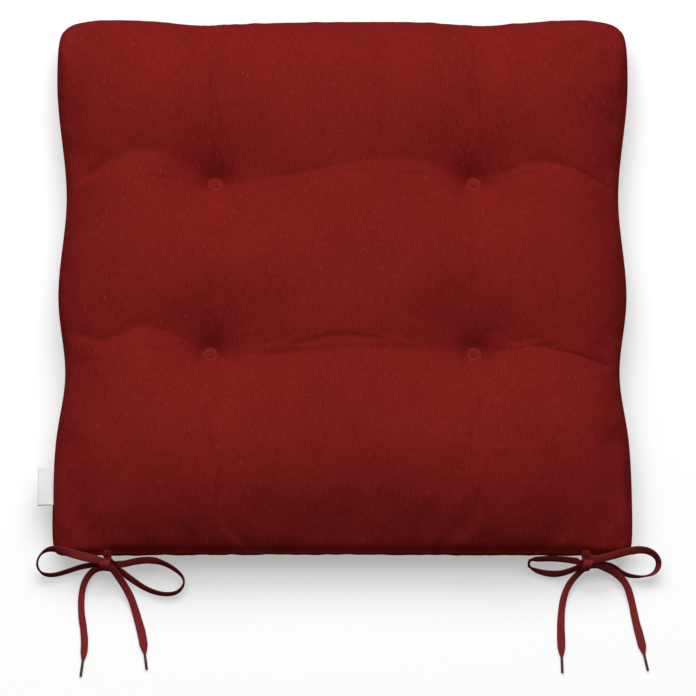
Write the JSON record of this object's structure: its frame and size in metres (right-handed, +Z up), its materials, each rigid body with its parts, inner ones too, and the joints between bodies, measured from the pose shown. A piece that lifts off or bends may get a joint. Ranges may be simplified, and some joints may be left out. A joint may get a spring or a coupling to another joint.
{
  "type": "tufted chair seat pad",
  "caption": "Square tufted chair seat pad with a knife-edge seam and braided laces tied in bows at the near corners, for softening a chair seat.",
  "frame": {"origin": "centre of the underside, on the surface that the pad rests on", "axes": "+Z up through the pad, -Y towards the edge with the ties, -X towards the edge with the label"},
  "size_m": [0.4284, 0.483, 0.06],
  "materials": {
    "cover_cloth": "plain woven cotton-look cloth, dark red, slightly slubbed",
    "sewing_thread": "spun thread in the cloth's colour",
    "foam": "soft open-cell foam",
    "wadding": "white fibre wadding",
    "lace": "flat braided lace, dark red",
    "lace_tip": "crimped clear film over the braid, dark red",
    "label_ribbon": "white woven ribbon, blank"
  },
  "bodies": {
    "pad": {"cover_top": "cover_cloth", "cover_bottom": "cover_cloth", "seam_stitching": "sewing_thread", "foam_core": "foam", "wadding_top": "wadding", "wadding_bottom": "wadding", "tuft_stitch_far_left": "sewing_thread", "tuft_stitch_far_right": "sewing_thread", "tuft_stitch_near_left": "sewing_thread", "tuft_stitch_near_right": "sewing_thread", "tie_tack_left": "sewing_thread", "tie_tack_right": "sewing_thread"},
    "bow_left": {"tie_root_left": "lace", "tie_left_outer": "lace", "tie_left_inner": "lace", "aglet_left_outer": "lace_tip", "aglet_left_inner": "lace_tip"},
    "bow_right": {"tie_root_right": "lace", "tie_right_inner": "lace", "tie_right_outer": "lace", "aglet_right_inner": "lace_tip", "aglet_right_outer": "lace_tip"},
    "label": {"side_label": "label_ribbon"}
  },
  "joints": [
    {"name": "bow_left_swing", "type": "hinge", "parent": "pad", "child": "bow_left", "pos_m": [-0.162, -0.2025, 0.022], "axis": [-1, 0, 0], "range_deg": [0, 120]},
    {"name": "bow_right_swing", "type": "hinge", "parent": "pad", "child": "bow_right", "pos_m": [0.168, -0.2025, 0.022], "axis": [-1, 0, 0], "range_deg": [0, 120]},
    {"name": "label_flap", "type": "hinge", "parent": "pad", "child": "label", "pos_m": [-0.2005, -0.1505, 0.022], "axis": [0, 1, 0], "range_deg": [-75, 75], "stiffness_Nm_per_rad": 0.001}
  ]
}
